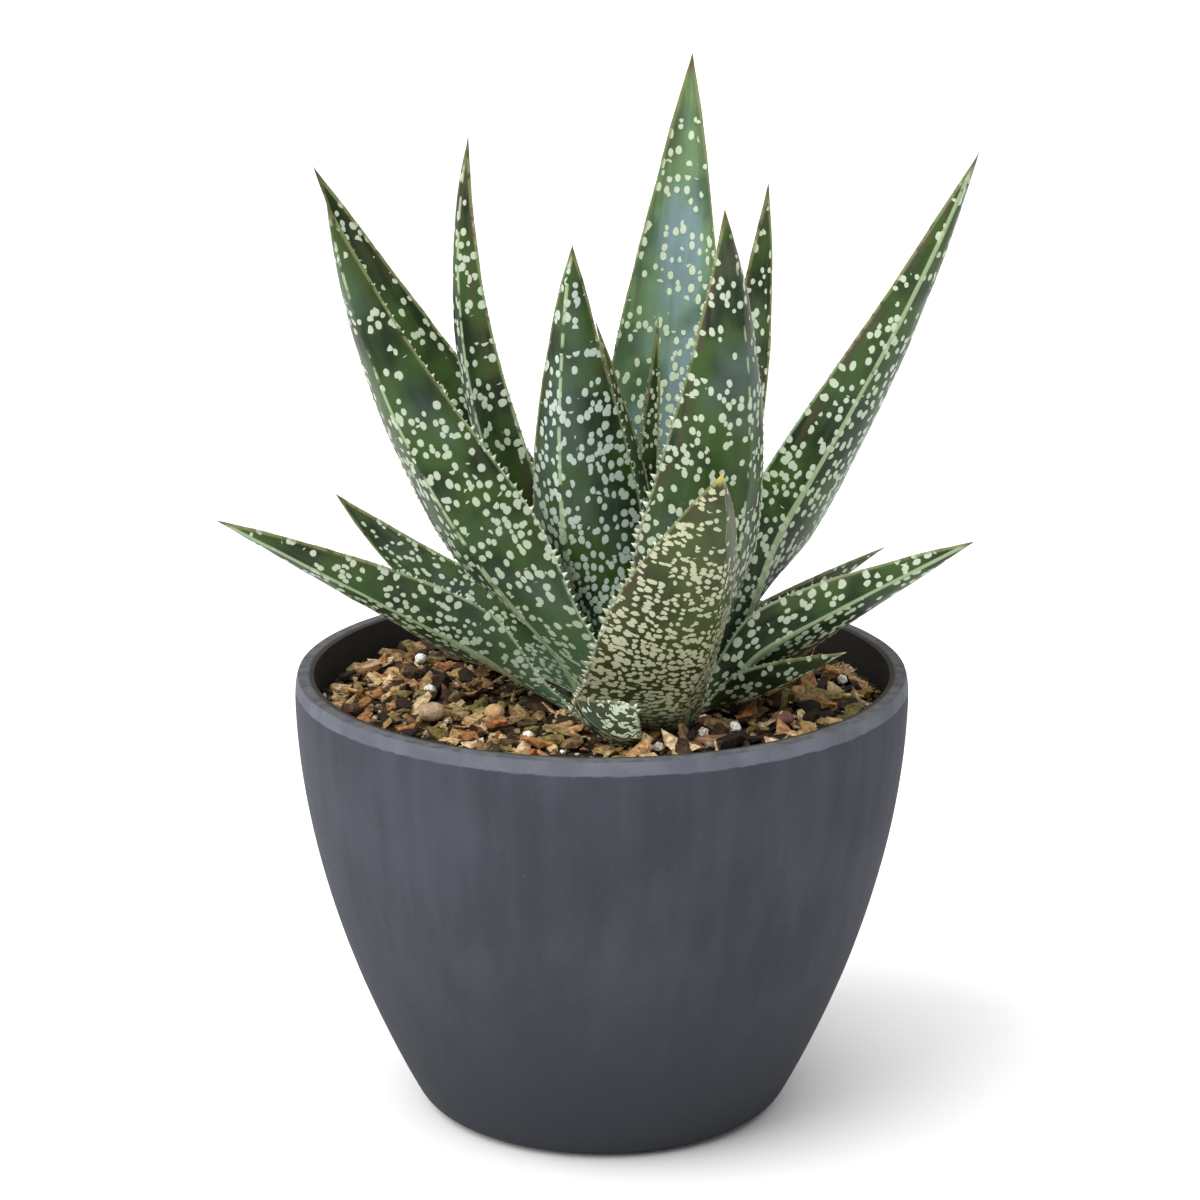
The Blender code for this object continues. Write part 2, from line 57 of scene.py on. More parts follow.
class Finish:
    """A material being made. add() places a node, and the other calls place the common ones."""

    def __init__(self, name, roughness, specular=0.5):
        self.material = bpy.data.materials.new(name)
        self.material.use_nodes = True
        self.tree = self.material.node_tree
        self.shader = self.tree.nodes["Principled BSDF"]
        self.shader.inputs["Roughness"].default_value = roughness
        self.shader.inputs["Specular IOR Level"].default_value = specular
        self.place = self.add("TexCoord").outputs["Object"]

    def give(self, socket, value):
        if isinstance(value, bpy.types.NodeSocket):
            self.tree.links.new(value, socket)
        elif socket.type == "RGBA":
            socket.default_value = (*value, 1.0)
        else:
            socket.default_value = value

    def add(self, kind, inputs=None, **settings):
        node = self.tree.nodes.new("ShaderNode" + kind)
        for key, value in settings.items():
            setattr(node, key, value)
        for key, value in (inputs or {}).items():
            self.give(node.inputs[key], value)
        return node

    def math(self, operation, a, b=0.0):
        return self.add("Math", {0: a, 1: b}, operation=operation).outputs[0]

    def mix(self, share, a, b):
        return self.add("Mix", {0: share, 6: a, 7: b}, data_type="RGBA").outputs[2]

    def ramp(self, value, low, high):
        """0 at low and 1 at high, with soft ends."""
        inputs = {"Value": value, "From Min": low, "From Max": high}
        return self.add("MapRange", inputs, interpolation_type="SMOOTHSTEP").outputs[0]

    def stretched(self, scale, vector=None):
        """The place, or another vector, multiplied by a scale for each axis."""
        inputs = {"Vector": vector or self.place, "Scale": scale}
        return self.add("Mapping", inputs, vector_type="POINT").outputs[0]

    def noise(self, size, detail=3.0, vector=None):
        """Soft noise with features of a size in the vector's own units."""
        inputs = {"Vector": vector or self.place, "Scale": 1.0 / size, "Detail": detail}
        return self.add("TexNoise", inputs).outputs["Fac"]

    def cells(self, size, vector=None):
        """Random cells of a size in the vector's own units."""
        inputs = {"Vector": vector or self.place, "Scale": 1.0 / size}
        return self.add("TexVoronoi", inputs)

    def colour(self, value):
        self.give(self.shader.inputs["Base Color"], value)

    def rough(self, value):
        self.give(self.shader.inputs["Roughness"], value)

    def bump(self, height, depth):
        node = self.add("Bump", {"Height": height, "Distance": depth, "Strength": 1.0})
        self.give(self.shader.inputs["Normal"], node.outputs[0])


def select_only(*objects):
    bpy.ops.object.select_all(action="DESELECT")
    for item in objects:
        item.select_set(True)
    bpy.context.view_layer.objects.active = objects[0]


def cad_copy(node, name, merge=0.01 * MM):
    """A copy of a CAD node with its loose triangles merged, ready to be shaped."""
    copy = bpy.data.objects.new(name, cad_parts[node].data.copy())
    bpy.context.scene.collection.objects.link(copy)
    copy.data.materials.clear()
    select_only(copy)
    bpy.ops.object.mode_set(mode="EDIT")
    bpy.ops.mesh.select_all(action="SELECT")
    bpy.ops.mesh.remove_doubles(threshold=merge)
    bpy.ops.mesh.customdata_custom_splitnormals_clear()
    bpy.ops.object.mode_set(mode="OBJECT")
    return copy


def modify(piece, kind, **settings):
    """Adds a modifier to the piece and applies it."""
    select_only(piece)
    modifier = piece.modifiers.new(kind, kind)
    for key, value in settings.items():
        setattr(modifier, key, value)
    bpy.ops.object.modifier_apply(modifier=modifier.name)


def roughen(piece, size, strength, group=""):
    """Pushes the surface in and out by soft noise of a size."""
    texture = bpy.data.textures.new(piece.name + "_roughness", "CLOUDS")
    texture.noise_scale = size
    modify(piece, "DISPLACE", texture=texture, texture_coords="LOCAL", strength=strength,
           mid_level=0.5, vertex_group=group)


def finished(piece, body, slot, *nodes):
    """Hands a piece to the frame, in place of its CAD nodes."""
    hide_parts(*nodes)
    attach(piece, body)


pot_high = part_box("pot")[1]
RIM_TOP = pot_high.z
RIM_RADIUS = pot_high.x
CHAMFER = 2.8 * MM
POT_EDGE_ANGLE = radians(20)     # edges sharper than this keep their corner
POT_SMOOTH_ANGLE = radians(35)


def cement():
    f = Finish("cast_cement", 0.78, 0.10)
    split = f.add("SeparateXYZ", {"Vector": f.place})
    flat = f.add("CombineXYZ", {"X": split.outputs[0], "Y": split.outputs[1]}).outputs[0]
    height = split.outputs[2]
    streaks = f.noise(5 * MM, 4.0, f.stretched((1.0, 1.0, 0.07)))
    clouds = f.noise(30 * MM, 4.0)
    grain = f.noise(0.6 * MM, 2.0)
    tone = f.math("ADD", f.math("MULTIPLY", streaks, 0.4), f.math("MULTIPLY", clouds, 0.6))
    body = f.mix(f.ramp(tone, 0.34, 0.66), (0.041, 0.044, 0.055), (0.059, 0.063, 0.079))
    dust = f.ramp(f.cells(2.6 * MM).outputs["Distance"], 0.10, 0.05)
    body = f.mix(f.math("MULTIPLY", dust, 0.35), body, (0.10, 0.105, 0.12))
    pores = f.ramp(f.cells(1.9 * MM, f.stretched((1.0, 1.0, 0.8))).outputs["Distance"], 0.09, 0.04)
    body = f.mix(f.math("MULTIPLY", pores, 0.6), body, (0.022, 0.023, 0.028))
    # Painted shade: the body is darker towards the base.
    body = f.mix(f.ramp(height, 0.75 * RIM_TOP, 0.0), body, (0.032, 0.035, 0.042))
    # Painted light: a lighter band on the chamfer, where the bevel faces up, with a ragged lower edge.
    ragged = f.math("MULTIPLY", f.math("SUBTRACT", f.noise(3 * MM, 5.0), 0.5), 0.9 * MM)
    edge = f.math("ADD", height, ragged)
    chamfer_light_mask = f.ramp(edge, RIM_TOP - CHAMFER - 0.25 * MM, RIM_TOP - CHAMFER + 0.15 * MM)
    chamfer_light_colour = f.mix(f.ramp(f.noise(9 * MM, 4.0), 0.35, 0.65), (0.100, 0.106, 0.130), (0.134, 0.141, 0.170))
    colour = f.mix(chamfer_light_mask, body, chamfer_light_colour)
    top = f.ramp(height, RIM_TOP - 0.25 * MM, RIM_TOP - 0.05 * MM)
    lip = f.mix(f.ramp(f.noise(3 * MM, 5.0), 0.35, 0.65), (0.070, 0.073, 0.079), (0.105, 0.106, 0.110))
    colour = f.mix(top, colour, lip)
    # Painted shade: the inside wall is darker.
    facing = f.add("NewGeometry").outputs["Normal"]
    inward = f.add("VectorMath", {0: facing, 1: flat}, operation="DOT_PRODUCT")
    inside = f.ramp(inward.outputs["Value"], -0.02 * RIM_RADIUS, -0.10 * RIM_RADIUS)
    colour = f.mix(inside, colour, (0.038, 0.034, 0.032))
    f.colour(colour)
    f.rough(f.math("ADD", f.math("MULTIPLY", grain, 0.2), 0.62))
    relief = f.math("ADD", f.math("MULTIPLY", grain, 0.6), f.math("MULTIPLY", streaks, 0.5))
    relief = f.math("SUBTRACT", relief, f.math("MULTIPLY", pores, 0.8))
    f.bump(relief, 0.12 * MM)
    return f.material


pot = cad_copy("pot", "cast_pot")
bpy.ops.object.mode_set(mode="EDIT")
bpy.ops.mesh.select_all(action="SELECT")
bpy.ops.mesh.tris_convert_to_quads(face_threshold=pi, shape_threshold=pi)
bpy.ops.mesh.select_all(action="DESELECT")
bpy.ops.mesh.select_mode(type="EDGE")
bpy.ops.mesh.edges_select_sharp(sharpness=POT_EDGE_ANGLE)
bpy.ops.transform.edge_crease(value=0.8)
bpy.ops.object.mode_set(mode="OBJECT")
modify(pot, "SUBSURF", levels=2, render_levels=2)
roughen(pot, 14 * MM, 0.12 * MM)
pot.data.shade_smooth()
pot.data.set_sharp_from_angle(angle=POT_SMOOTH_ANGLE)
pot.data.materials.append(cement())
finished(pot, "root", "pot", "pot")


# ------------------------------------------------------------------------------------------- the mix
# Composted bark and grit. The plug is one lumpy piece, and its surface is covered with loose crumbs of
# bark, splinters, grit, moss and perlite, each kind joined into one piece.

mix_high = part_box("potting_mix")[1]
MIX_RADIUS = mix_high.x
MIX_TOP_DEPTH = 6 * MM           # faces this near the top, and facing up, are the loose surface


def compost():
    f = Finish("bark_compost", 0.95, 0.2)
    crumbs = f.cells(1.6 * MM)
    tone = f.ramp(crumbs.outputs["Color"], 0.2, 0.9)
    earth = f.mix(tone, (0.014, 0.009, 0.006), (0.070, 0.040, 0.018))
    pale = f.ramp(f.noise(2.2 * MM, 4.0), 0.60, 0.72)
    f.colour(f.mix(pale, earth, (0.16, 0.10, 0.045)))
    f.bump(f.math("ADD", crumbs.outputs["Distance"], f.noise(0.8 * MM, 5.0)), 0.5 * MM)
    return f.material


mix = cad_copy("potting_mix", "mix_plug")
bpy.ops.object.mode_set(mode="EDIT")
bpy.ops.mesh.select_mode(type="FACE")
bpy.ops.mesh.select_all(action="DESELECT")
bpy.ops.object.mode_set(mode="OBJECT")
mix.vertex_groups.new(name="surface")
for face in mix.data.polygons:
    face.select = face.normal.z > 0.5 and face.center.z > mix_high.z - MIX_TOP_DEPTH
bpy.ops.object.mode_set(mode="EDIT")
bpy.ops.mesh.subdivide(number_cuts=5)
bpy.ops.object.vertex_group_assign()
bpy.ops.object.mode_set(mode="OBJECT")
roughen(mix, 2.2 * MM, 1.6 * MM, "surface")
mix.data.shade_smooth()
mix.data.materials.append(compost())
finished(mix, "root", "potting_mix", "potting_mix")

mix_surface = BVHTree.FromPolygons([vert.co for vert in mix.data.vertices],
                                   [face.vertices for face in mix.data.polygons])


def ground(x, y):
    """Height of the mix's surface at a place."""
    above = Vector((x, y, RIM_TOP + 20 * MM))
    return mix_surface.ray_cast(above, Vector((0, 0, -1)))[0].z


def crumb_finish(name, colours, grain, roughness):
    """A finish for loose crumbs. Each crumb's own tint picks its place along the colours."""
    f = Finish(name, roughness, 0.3)
    tint = f.add("Attribute", attribute_name="tint").outputs["Fac"]
    fine = f.noise(grain, 4.0)
    colour = colours[0]
    for i in range(1, len(colours)):
        colour = f.mix(f.ramp(tint, (i - 0.7) / len(colours), (i + 0.3) / len(colours)), colour, colours[i])
    shade = f.mix(f.ramp(fine, 0.35, 0.65), (0.50, 0.46, 0.42), (1.15, 1.12, 1.08))
    shaded = f.add("Mix", {0: 1.0, 6: colour, 7: shade}, data_type="RGBA", blend_type="MULTIPLY")
    f.colour(shaded.outputs[2])
    f.bump(fine, 0.25 * MM)
    return f.material


def crumb(name, rough, curl, seed):
    """A low, angular lump one unit across, curled up at its ends, to be copied hundreds of times."""
    bpy.ops.object.select_all(action="DESELECT")
    bpy.ops.mesh.primitive_ico_sphere_add(subdivisions=1, radius=0.5)
    lump = bpy.context.object
    lump.name = name
    for vert in lump.data.vertices:
        vert.co *= 1.0 + rough * noise.noise(vert.co * 3.1 + Vector((seed, 0.0, 0.0)))
        vert.co.z += curl * (vert.co.x ** 2 - 0.1)
    return lump


def scattered(name, models, places):
    """Copies of the models, each with its own mesh and tint, set at their places and joined."""
    copies = []
    for i, (place, tint) in enumerate(places):
        copy = bpy.data.objects.new(name, models[i % len(models)].data.copy())
        copy.data.transform(place)
        values = copy.data.attributes.new("tint", "FLOAT", "POINT")
        values.data.foreach_set("value", [tint] * len(copy.data.vertices))
        bpy.context.scene.collection.objects.link(copy)
        copies.append(copy)
    select_only(*copies)
    bpy.ops.object.join()
    copies[0].name = name
    return copies[0]


# Each kind: how many, longest and shortest crumb in millimetres, width and height as shares of the
# length, share sunk in the mix, curl, gathering (0.5 is even, and less is nearer the wall), finish and
# slot.
Crumbs = namedtuple("Crumbs", "count longest shortest width height sunk curl gather finish slot")
CRUMBS = {
    "mix_bark_crumbs": Crumbs(950, 7.0, 1.8, 0.68, 0.42, 0.05, 1.2, 0.5, crumb_finish("crumbled_bark", (
        (0.014, 0.008, 0.005), (0.045, 0.022, 0.011), (0.34, 0.23, 0.11), (0.16, 0.14, 0.045),
        (0.30, 0.13, 0.045), (0.60, 0.44, 0.22), (0.06, 0.035, 0.018), (0.025, 0.014, 0.008)),
        0.9 * MM, 0.85), "bark"),
    "mix_flakes": Crumbs(170, 9.5, 5.0, 0.55, 0.20, -0.5, 3.5, 0.4, crumb_finish("bark_flakes", (
        (0.08, 0.040, 0.020), (0.50, 0.34, 0.17), (0.38, 0.17, 0.06), (0.32, 0.26, 0.10),
        (0.66, 0.50, 0.30)), 1.1 * MM, 0.8), "bark"),
    "mix_grit": Crumbs(1100, 2.8, 0.9, 0.8, 0.62, 0.1, 0.0, 0.5, crumb_finish("sharp_grit", (
        (0.10, 0.07, 0.035), (0.32, 0.22, 0.11), (0.45, 0.34, 0.14), (0.66, 0.54, 0.36),
        (0.24, 0.20, 0.15)), 0.5 * MM, 0.7), "pebble"),
    "mix_moss": Crumbs(220, 4.4, 1.8, 0.75, 0.5, 0.2, 0.5, 0.5, crumb_finish("dry_moss", (
        (0.030, 0.030, 0.009), (0.12, 0.115, 0.030), (0.27, 0.24, 0.065)), 0.5 * MM, 0.95), "bark"),
    "mix_splinters": Crumbs(220, 8.0, 3.5, 0.13, 0.10, -0.6, 4.0, 0.6, crumb_finish("wood_splinters", (
        (0.10, 0.05, 0.02), (0.40, 0.22, 0.10), (0.60, 0.45, 0.26)), 0.6 * MM, 0.8), "bark"),
    "mix_perlite": Crumbs(60, 2.8, 1.2, 0.85, 0.8, -0.2, 0.0, 0.5, crumb_finish("crushed_perlite", (
        (0.62, 0.59, 0.53), (0.84, 0.83, 0.79)), 0.5 * MM, 0.9), "perlite"),
}
CRUMB_MODELS = 4                 # shapes that each kind is copied from
CRUMB_ROUGHNESS = 0.5
CRUMB_TILT = 0.35                # spread of the crumbs' tilt in radians
CRUMB_EDGE_ANGLE = radians(30)
for number, (name, kind) in enumerate(CRUMBS.items()):
    draw = Random(11 + number)
    models = []
    for i in range(CRUMB_MODELS):
        models.append(crumb("crumb_model_%d" % i, CRUMB_ROUGHNESS, kind.curl, 3.0 * i + number))
    places = []
    for i in range(kind.count):
        length = (kind.shortest + (kind.longest - kind.shortest) * draw.random() ** 2.0) * MM
        reach = (MIX_RADIUS - 0.55 * length) * draw.random() ** kind.gather
        bearing = draw.uniform(0.0, 2 * pi)
        x = reach * cos(bearing)
        y = reach * sin(bearing)
        width = length * kind.width * draw.uniform(0.7, 1.3)
        thickness = length * kind.height * draw.uniform(0.7, 1.3)
        turn = Matrix.Rotation(draw.uniform(0.0, 2 * pi), 4, "Z")
        tilt = Matrix.Rotation(draw.gauss(0.0, CRUMB_TILT), 4, "Y")
        height = ground(x, y) + (0.5 - kind.sunk) * thickness
        scale = Matrix.Diagonal((length, width, thickness, 1.0))
        place = Matrix.Translation((x, y, height)) @ turn @ tilt @ scale
        places.append((place, draw.random()))
    piece = scattered(name, models, places)
    piece.data.materials.clear()
    piece.data.materials.append(kind.finish)
    piece.data.set_sharp_from_angle(angle=CRUMB_EDGE_ANGLE)
    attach(piece, "root")
    for model in models:
        bpy.data.objects.remove(model)


# ---------------------------------------------------------------------------------- stem and roots
# The fleshy stem that the leaves clasp, and the roots that run from it into the mix.

def flesh(name, pale, dark, roughness):
    f = Finish(name, roughness, 0.4)
    fibres = f.noise(1.5 * MM, 4.0, f.stretched((1.0, 1.0, 0.2)))
    f.colour(f.mix(f.ramp(fibres, 0.35, 0.65), pale, dark))
    f.bump(fibres, 0.2 * MM)
    return f.material


ROOTS = 6
FLESH = {"stem": ("stem", flesh("stem_flesh", (0.30, 0.36, 0.15), (0.16, 0.22, 0.07), 0.5))}
for i in range(1, ROOTS + 1):
    fibrous = flesh("root_flesh_%d" % i, (0.55, 0.44, 0.28), (0.30, 0.20, 0.11), 0.75)
    FLESH["root_%d" % i] = ("roots", fibrous)
for node, (slot, finish) in FLESH.items():
    piece = cad_copy(node, node + "_flesh")
    modify(piece, "SUBSURF", levels=1, render_levels=1)
    piece.data.shade_smooth()
    piece.data.materials.append(finish)
    finished(piece, "root", slot, node)


# ------------------------------------------------------------------------------------------- leaves
# Thick keeled leaves, each grown from the CAD leaf's own rings. The base widens to clasp the stem, the
# margins and the keel are creased, and the margins carry horny teeth. The skin is green, with raised
# whitish spots in loose cross bands, a pale keel line and pale margins.

stem_low, stem_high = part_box("stem")
STEM_AXIS = Vector(((stem_low.x + stem_high.x) / 2, (stem_low.y + stem_high.y) / 2, 0.0))
MIX_TOP = ground(STEM_AXIS.x + 12 * MM, STEM_AXIS.y)
RING = 10                # points round a CAD leaf: 0 and 4 are its margins and 7 its keel
MARGINS = (0, 4)
KEEL = 7
CLASP_END = 0.30         # share of the length where the clasping base ends
TOOTH_LENGTH = 1.25      # along the margin, as a share of a tooth's height
TOOTH_THICKNESS = 0.55


def levels_from(tip):
    """The vertices of a leaf by how many edges they are from one of them."""
    levels = [[tip]]
    seen = {tip}
    while levels[-1]:
        ring = []
        for vert in levels[-1]:
            for edge in vert.link_edges:
                other = edge.other_vert(vert)
                if other not in seen:
                    seen.add(other)
                    ring.append(other)
        levels.append(ring)
    return levels[:-1]


def in_order(ring, ahead):
    """A ring's vertices in turn, from the margin where the inner face starts. ahead points to the tip."""
    members = set(ring)

    def neighbours(vert):
        for edge in vert.link_edges:
            wall = any(corner not in members for face in edge.link_faces for corner in face.verts)
            if edge.other_vert(vert) in members and wall:
                yield edge.other_vert(vert)

    walk = [ring[0]]
    while len(walk) < RING:
        walk.append(next(vert for vert in neighbours(walk[-1]) if vert not in walk))
    centre = sum((vert.co for vert in walk), Vector()) / RING
    spin = Vector()
    for i in range(RING):
        spin += (walk[i - 1].co - centre).cross(walk[i].co - centre)
    if spin.dot(ahead) > 0:
        walk.reverse()
    start = max(range(RING), key=lambda i: (walk[i].co - walk[(i + 4) % RING].co).length)
    return walk[start:] + walk[:start]


def middle(ring):
    return sum((vert.co for vert in ring), Vector()) / len(ring)


def leaf_rings(shape):
    """The rings of a merged CAD leaf from base to tip, with the diagonals between them dissolved."""
    bmesh.ops.remove_doubles(shape, verts=shape.verts, dist=0.001 * MM)
    for tip in shape.verts:
        levels = levels_from(tip)
        if len(levels) > 3 and all(len(level) == RING for level in levels[1:]):
            break
    levels.reverse()
    rings = []
    for i in range(len(levels) - 1):
        rings.append(in_order(levels[i], middle(levels[i + 1]) - middle(levels[i])))
    place = {vert: (i, j) for i, ring in enumerate(rings) for j, vert in enumerate(ring)}
    slant = []
    for edge in shape.edges:
        a, b = edge.verts
        if a is tip or b is tip:
            continue
        (ring_a, turn_a), (ring_b, turn_b) = place[a], place[b]
        across = (turn_a - turn_b) % RING
        if (ring_a != ring_b and across != 0) or (ring_a == ring_b and across not in (1, RING - 1)):
            slant.append(edge)
    bmesh.ops.dissolve_edges(shape, edges=slant, use_verts=False)
    return rings, tip


def smooth_step(value):
    value = min(max(value, 0.0), 1.0)
    return value * value * (3.0 - 2.0 * value)


def clasp(rings, shares, breadth):
    """Widens the rings near the base to a breadth, as a share of the blade's, and wraps them round the
    stem."""
    widest = max((ring[MARGINS[0]].co - ring[MARGINS[1]].co).length for ring in rings) / 2
    for ring, share in zip(rings, shares):
        weight = 1.0 - smooth_step(share / CLASP_END)
        if weight <= 0.0:
            continue
        centre = (ring[MARGINS[0]].co + ring[MARGINS[1]].co) / 2
        half = (ring[MARGINS[1]].co - ring[MARGINS[0]].co).length / 2
        side = (ring[MARGINS[1]].co - ring[MARGINS[0]].co) / (2 * half)
        out = ring[KEEL].co - centre
        out = (out - side * out.dot(side)).normalized()
        wide = widest * breadth + (half - widest * breadth) * smooth_step(share / 0.25)
        arm = centre - STEM_AXIS
        arm.z = 0.0
        reach = arm.length
        arm.normalize()
        round_side = Vector((-arm.y, arm.x, 0.0))
        if round_side.dot(side) < 0:
            round_side = -round_side
        for vert in ring:
            offset = vert.co - centre
            across = offset.dot(side) * max(wide / half, 1.0)
            depth = offset.dot(out)
            rise = offset - side * offset.dot(side) - out * offset.dot(out)
            angle = across / reach
            spoke = arm * cos(angle) + round_side * sin(angle)
            wrapped = STEM_AXIS + spoke * (reach + depth)
            wrapped.z = centre.z - 0.25 * abs(across)
            vert.co = vert.co.lerp(wrapped + rise, weight)


def root_in(shape, rings, shares, sunk):
    """Extends the base down to the mix and in towards the stem, in two more rings."""
    for step in (0.5, 1.0):
        base = rings[0]
        cap = next(face for face in shape.faces if len(face.verts) == RING)
        shape.faces.remove(cap)
        ring = [shape.verts.new(vert.co) for vert in base]
        for j in range(RING):
            after = (j + 1) % RING
            shape.faces.new((base[after], base[j], ring[j], ring[after]))
        shape.faces.new(ring)
        centre = middle(base)
        drop = (centre.z - sunk) * step
        arm = Vector((centre.x, centre.y, 0.0)) - STEM_AXIS
        slip = arm * (0.35 * step) if arm.length > 9 * MM else Vector()
        for vert in ring:
            vert.co = centre + (vert.co - centre) * (1.0 - 0.12 * step) - slip - Vector((0, 0, drop))
        rings.insert(0, ring)
        shares.insert(0, shares[0] - 0.06)


def along_ring(ring, start, end):
    """Length round a ring from one point to another, the shorter way."""
    lengths = []
    for step in (1, -1):
        total = 0.0
        i = start
        while i != end:
            total += (ring[(i + step) % RING].co - ring[i].co).length
            i = (i + step) % RING
        lengths.append(total)
    return min(lengths)


def mark(shape, rings, tip, shares):
    """Stores each vertex's place on the leaf's skin in mm, its share of the length and its distances in
    mm from the nearer margin and from the keel; and creases the margins, the keel and the tip."""
    place = shape.verts.layers.float_vector["leaf_mm"]
    zones = shape.verts.layers.float_vector["zones"]
    crease = shape.edges.layers.float["crease_edge"]
    point = shape.verts.layers.float["crease_vert"]
    run = 0.0
    for i, ring in enumerate(rings):
        centre = (ring[MARGINS[0]].co + ring[MARGINS[1]].co) / 2
        side = (ring[MARGINS[1]].co - ring[MARGINS[0]].co).normalized()
        out = ring[KEEL].co - centre
        out = (out - side * out.dot(side)).normalized()
        if i:
            run += (middle(ring) - middle(rings[i - 1])).length / MM
        gone = [0.0]
        for j in range(RING):
            gone.append(gone[-1] + (ring[(j + 1) % RING].co - ring[j].co).length / MM)
        inner = gone[MARGINS[1]]
        back = gone[RING] - inner
        for j, vert in enumerate(ring):
            if j in MARGINS:
                across = (inner + back) / 4 * (1 if j else -1)
            elif j < MARGINS[1]:
                across = gone[j] - inner / 2
            else:
                across = back / 2 - (gone[j] - inner)
            vert[place] = Vector((across, run, (vert.co - centre).dot(out) / MM))
            edge = min(along_ring(ring, j, margin) for margin in MARGINS) / MM
            on_back = j in MARGINS or j > MARGINS[1]
            keel = along_ring(ring, j, KEEL) / MM if on_back else 50.0
            vert[zones] = Vector((shares[i], edge, keel))
    tip[place] = Vector((0.0, run + (tip.co - middle(rings[-1])).length / MM, 0.0))
    tip[zones] = Vector((1.0, 0.0, 0.0))
    tip[point] = 1.0
    for low, high in zip(rings, rings[1:] + [[tip] * RING]):
        for j, amount in ((MARGINS[0], 0.9), (MARGINS[1], 0.9), (KEEL, 0.45)):
            for link in low[j].link_edges:
                if link.other_vert(low[j]) is high[j]:
                    link[crease] = amount


def tooth_model():
    """A horny tooth one unit long and high: a flattened cone that leans forwards along the margin."""
    bpy.ops.object.select_all(action="DESELECT")
    bpy.ops.mesh.primitive_cone_add(vertices=6, radius1=0.5, radius2=0.03, depth=1.0,
                                    location=(0.0, 0.0, 0.38))
    tooth = bpy.context.object
    bpy.ops.object.transform_apply(location=True)
    for vert in tooth.data.vertices:
        vert.co.x += 0.35 * max(vert.co.z, 0.0) ** 1.5
    tooth.data.shade_smooth()
    return tooth


def teeth_places(blade, look, draw):
    """Places for teeth along both margins of a finished blade, finer towards its tip."""
    zones = blade.data.attributes["zones"].data
    spot = blade.data.attributes["leaf_mm"].data
    places = []
    for flank in (-1, 1):
        line = [i for i, zone in enumerate(zones) if zone.vector[1] < 0.02 and 0.0 < zone.vector[0] < 0.97
                and spot[i].vector[0] * flank > 0]
        line.sort(key=lambda i: zones[i].vector[0])
        wait = 0.0
        for before, here in zip(line, line[1:]):
            a = blade.data.vertices[before]
            b = blade.data.vertices[here]
            wait -= (b.co - a.co).length / MM
            if wait > 0:
                continue
            share = zones[here].vector[0]
            tall = look.teeth * (1.0 - 0.75 * smooth_step((share - 0.35) / 0.6)) * draw.uniform(0.55, 1.25)
            wait = (1.0 + 0.9 * share) * draw.uniform(0.7, 1.5)
            if tall < 0.12:
                continue
            run = (b.co - a.co).normalized()
            out = b.normal.copy()
            out = (out - run * out.dot(run)).normalized()
            thin = run.cross(out)
            basis = Matrix((run, -thin, out)).transposed().to_4x4()
            height = tall * MM
            sides = Matrix.Diagonal((TOOTH_LENGTH * height, TOOTH_THICKNESS * height, height, 1.0))
            places.append((Matrix.Translation(b.co) @ basis @ sides, draw.random()))
    return places


